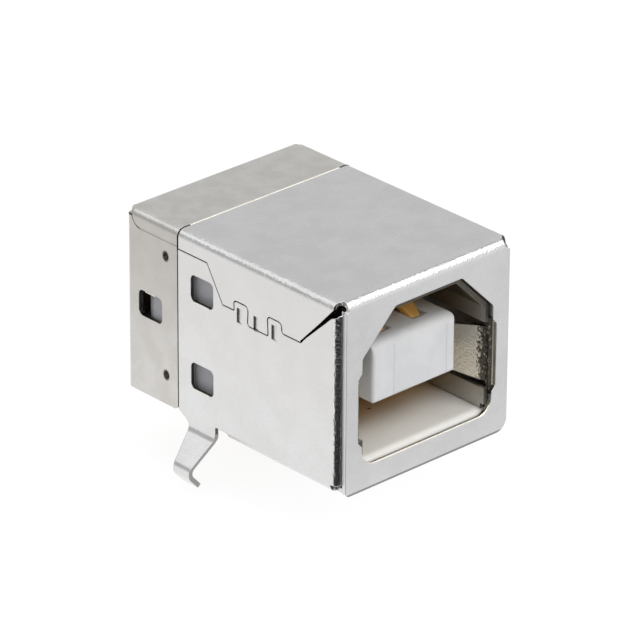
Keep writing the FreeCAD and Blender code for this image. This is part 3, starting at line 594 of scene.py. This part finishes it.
class LineTheMouth(bpy.types.Operator):
    """Carries the lining of the plug space forward to the front plate"""

    bl_idname = "socket.line_the_mouth"
    bl_label = "Line the mouth"

    def execute(self, context):
        # Tones of painted shade, the last one darker for the face turned to the plug.
        metal = shadowed_steel("nickel_plated_steel_mouth", "C4C1BA", "B6B3AB", "625F59")
        front, rear = FRONT + SHEET + 0.02, FRONT + 2 * SHEET + 0.03
        rings = [(rear, 0.0), (front, 0.0), (front, 1.0), (rear, 1.0)]
        sleeve("lining_mouth", [[(x, y, z) for x, z in mouth_line(share)] for y, share in rings], metal)
        for name, side in (("lining_foot_left", -1), ("lining_foot_right", 1)):
            feet = []
            for y, share in rings:
                x = side * (LINING_HALF + (OPENING_HALF - RIM - LINING_HALF) * share)
                feet.append([(x, y, SLOT_LOW), (x, y, OPENING_LOW + 0.45)][::-side])
            sleeve(name, feet, metal)
        return {"FINISHED"}


class FloorThePockets(bpy.types.Operator):
    """Lays the shallow plastic floor under each contact's tip in the tongue"""

    bl_idname = "socket.floor_the_pockets"
    bl_label = "Floor the pockets"

    def execute(self, context):
        shape = bmesh.new()
        for x in (-PITCH / 2, PITCH / 2):
            for z in (TONGUE_HIGH - POCKET_DEPTH, TONGUE_LOW + POCKET_DEPTH):
                place = Matrix.Translation((x * MM, (FRONT + 2.48) * MM, z * MM))
                size = Matrix.Diagonal((1.04 * MM, 1.0 * MM, POCKET_DEPTH * MM, 1))
                bmesh.ops.create_cube(shape, size=1, matrix=place @ size)
        bmesh.ops.bevel(shape, geom=shape.edges[:], offset=0.03 * MM, segments=2, affect="EDGES")
        mesh = bpy.data.meshes.new("pocket_floors")
        shape.to_mesh(mesh)
        shape.free()
        mesh.materials.append(bpy.data.materials["moulded_pbt_white"])
        piece = bpy.data.objects.new("pocket_floors", mesh)
        bpy.context.scene.collection.objects.link(piece)
        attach(piece, "root")
        return {"FINISHED"}


class FinishPlastic(bpy.types.Operator):
    """Gives the housing and the tail spacer their moulded white plastic"""

    bl_idname = "socket.finish_plastic"
    bl_label = "Mould the plastic"

    def execute(self, context):
        tone = context.scene.socket_finish.plastic_tone
        give("housing", moulded_plastic("moulded_pbt_white", tone, "CBCDD0"))
        give("tail_spacer", moulded_plastic("moulded_pbt_spacer", "D0D0CC", "C8C8C4"))
        return {"FINISHED"}


class FinishContacts(bpy.types.Operator):
    """Plates the four contacts with gold"""

    bl_idname = "socket.finish_contacts"
    bl_label = "Gild the contacts"

    def execute(self, context):
        tone = context.scene.socket_finish.gold_tone
        gold = gold_plating("gold_plated_bronze", tone, "F7C068")
        for number in range(1, 5):
            give("contact_%d" % number, gold)
        return {"FINISHED"}


def softbox(name, place, aim, size, power, colour):
    """Square lamp that faces a point."""
    light = bpy.data.lights.new(name, "AREA")
    light.size = size
    light.energy = power
    light.color = from_hex(colour)[:3]
    lamp = bpy.data.objects.new(name, light)
    lamp.location = place
    lamp.rotation_euler = (Vector(aim) - Vector(place)).to_track_quat("-Z", "Y").to_euler()
    bpy.context.scene.collection.objects.link(lamp)
    return lamp


class BuildStage(bpy.types.Operator):
    """Sets up the floor, the room, the softboxes and the camera"""

    bl_idname = "socket.build_stage"
    bl_label = "Build the stage"

    def execute(self, context):
        stage = context.scene.socket_stage
        middle = Vector((0, -4.28 * MM, 4.88 * MM))
        build_floor()
        build_room(stage.room)
        build_cards()
        softbox("side_softbox", (-0.14, -0.02, 0.07), middle, 0.16, stage.side_light, "FFFFFF")
        softbox("front_softbox", (0.04, -0.14, 0.12), middle, 0.12, stage.front_light, "FFFBF6")
        overhead = softbox("top_softbox", (-0.02, 0.02, 0.17), middle, 0.16, stage.top_light, "FBFCFF")
        overhead.visible_glossy = False
        build_camera(context.scene, stage, middle)
        context.scene.view_settings.view_transform = "Standard"
        return {"FINISHED"}


def on_table(x, y):
    """Point just above the floor, in metres from millimetres."""
    return (x * MM, y * MM, CAD_BOX[0].z + 0.2 * MM)


def around(azimuth, height, reach=165):
    """Point at an azimuth round the socket, in degrees from +X, with its height and reach in mm."""
    turned = math.radians(azimuth)
    return (reach * MM * math.cos(turned), reach * MM * math.sin(turned), height * MM)


def card(name, corners, brightness):
    """Even board that is seen only in the metal's reflections."""
    mesh = bpy.data.meshes.new(name)
    mesh.from_pydata(corners, [], [range(len(corners))])
    board = bpy.data.objects.new(name, mesh)
    board.visible_camera = board.visible_diffuse = board.visible_shadow = False
    board.visible_transmission = board.visible_volume_scatter = False
    bpy.context.scene.collection.objects.link(board)
    material, tree, _ = new_material(name + "_paint")
    glow = add(tree, "ShaderNodeEmission", {"Strength": brightness})
    add(tree, "ShaderNodeOutputMaterial", {"Surface": glow})
    mesh.materials.append(material)


def build_cards():
    """Boards round the socket: dark on the left, grey on the right, bright in front and above."""
    card("dark_table_card", [on_table(-9.5, -9.5), on_table(-5, -13.5), on_table(22, -130),
                             on_table(-130, -30)], 0.02)
    card("grey_table_card", [on_table(-4, -14), on_table(9, -12), on_table(150, 20),
                             on_table(22, -130)], 0.74)
    card("soft_front_card", [around(a, h) for a, h in ((-75, -2), (6, -2), (6, 70), (-75, 70))], 0.80)
    card("grey_back_card", [around(a, h) for a, h in ((28, 6), (92, 6), (92, 290), (28, 290))], 0.63)
    card("dim_corner_card", [around(a, h) for a, h in ((9, 60), (28, 60), (28, 290), (9, 290))], 0.35)
    card("bright_front_card", [around(a, h) for a, h in ((-65, 75), (8, 75), (8, 300), (-65, 300))], 1.5)
    card("dark_horizon_card", [around(a, h) for a, h in ((108, -2), (192, -2), (192, 70), (108, 70))], 0.50)


def build_floor():
    """Large white floor under the hooks; it shows white and keeps a soft shadow."""
    low = CAD_BOX[0].z - 0.02 * MM
    shape = bmesh.new()
    bmesh.ops.create_grid(shape, x_segments=1, y_segments=1, size=1.5,
                          matrix=Matrix.Translation((0, 0, low)))
    mesh = bpy.data.meshes.new("floor")
    shape.to_mesh(mesh)
    shape.free()
    floor = bpy.data.objects.new("floor", mesh)
    bpy.context.scene.collection.objects.link(floor)
    material, tree, _ = new_material("white_floor")
    seen = light_path_seen(tree)
    matt = add(tree, "ShaderNodeBsdfDiffuse", {"Color": "F2F2F2"})
    white = add(tree, "ShaderNodeEmission", {"Strength": 1.07})
    bright = add(tree, "ShaderNodeMixShader", {0: 0.85, 1: matt, 2: white})
    mixed = add(tree, "ShaderNodeMixShader", {0: seen, 1: matt, 2: bright})
    add(tree, "ShaderNodeOutputMaterial", {"Surface": mixed})
    mesh.materials.append(material)


def light_path_seen(tree):
    """1 for what the camera sees directly, in a mirror or through glass."""
    path = add(tree, "ShaderNodeLightPath").outputs
    seen = add(tree, MATHS, {0: path["Is Camera Ray"], 1: path["Is Glossy Ray"]}, operation="MAXIMUM")
    return add(tree, MATHS, {0: seen, 1: path["Is Transmission Ray"]}, operation="MAXIMUM")


def build_room(strength):
    """Even light from all sides; the room itself shows white."""
    world = bpy.data.worlds.new("studio_room")
    world.use_nodes = True
    tree = world.node_tree
    tree.nodes.clear()
    seen = light_path_seen(tree)
    even = add(tree, "ShaderNodeBackground", {"Color": "FFFFFF", "Strength": strength})
    white = add(tree, "ShaderNodeBackground", {"Color": "FFFFFF", "Strength": 1.0})
    mixed = add(tree, "ShaderNodeMixShader", {0: seen, 1: even, 2: white})
    add(tree, "ShaderNodeOutputWorld", {"Surface": mixed})
    bpy.context.scene.world = world


def build_camera(scene, stage, middle):
    """Camera at the photograph's angle, moved sideways and up in its own plane."""
    a, e, r = stage.azimuth, stage.elevation, stage.roll
    back = Vector((math.sin(a) * math.cos(e), -math.cos(a) * math.cos(e), math.sin(e)))
    level = Vector((math.cos(a), math.sin(a), 0))
    upright = back.cross(level)
    right = level * math.cos(r) + upright * math.sin(r)
    up = upright * math.cos(r) - level * math.sin(r)
    data = bpy.data.cameras.new("camera")
    data.lens = stage.lens
    data.sensor_width = 36
    data.clip_start, data.clip_end = 0.01, 10
    camera = bpy.data.objects.new("camera", data)
    place = middle + right * (-1.32 * MM) + up * (0.78 * MM) + back * stage.distance
    turn = Matrix((right, up, back)).transposed().to_4x4()
    camera.matrix_world = Matrix.Translation(place) @ turn
    scene.collection.objects.link(camera)
    scene.camera = camera


class SocketPanel(bpy.types.Panel):
    """Lists the steps and their settings"""

    bl_idname = "SOCKET_PT_steps"
    bl_label = "Board socket"
    bl_space_type = "VIEW_3D"
    bl_region_type = "UI"
    bl_category = "Socket"

    def draw(self, context):
        for group in (context.scene.socket_finish, context.scene.socket_stage):
            box = self.layout.box()
            for name in group.bl_rna.properties.keys():
                if name not in ("rna_type", "name"):
                    box.prop(group, name)
        for step in STEPS:
            self.layout.operator(step.bl_idname)


STEPS = (FinishSheetMetal, DrawBurrs, LineTheMouth, FinishPlastic, FloorThePockets, FinishContacts,
         BuildStage)
CLASSES = (SocketFinish, SocketStage) + STEPS + (SocketPanel,)


def register():
    """Registers the classes and hangs the settings on the scene."""
    for item in CLASSES:
        bpy.utils.register_class(item)
    bpy.types.Scene.socket_finish = bpy.props.PointerProperty(type=SocketFinish)
    bpy.types.Scene.socket_stage = bpy.props.PointerProperty(type=SocketStage)


def unregister():
    """Undoes register."""
    del bpy.types.Scene.socket_stage
    del bpy.types.Scene.socket_finish
    for item in reversed(CLASSES):
        bpy.utils.unregister_class(item)


def main():
    """Runs every step in order."""
    register()
    bpy.ops.socket.finish_sheet_metal()
    bpy.ops.socket.draw_burrs()
    bpy.ops.socket.line_the_mouth()
    bpy.ops.socket.finish_plastic()
    bpy.ops.socket.floor_the_pockets()
    bpy.ops.socket.finish_contacts()
    bpy.ops.socket.build_stage()


if __name__ == "__main__":
    main()
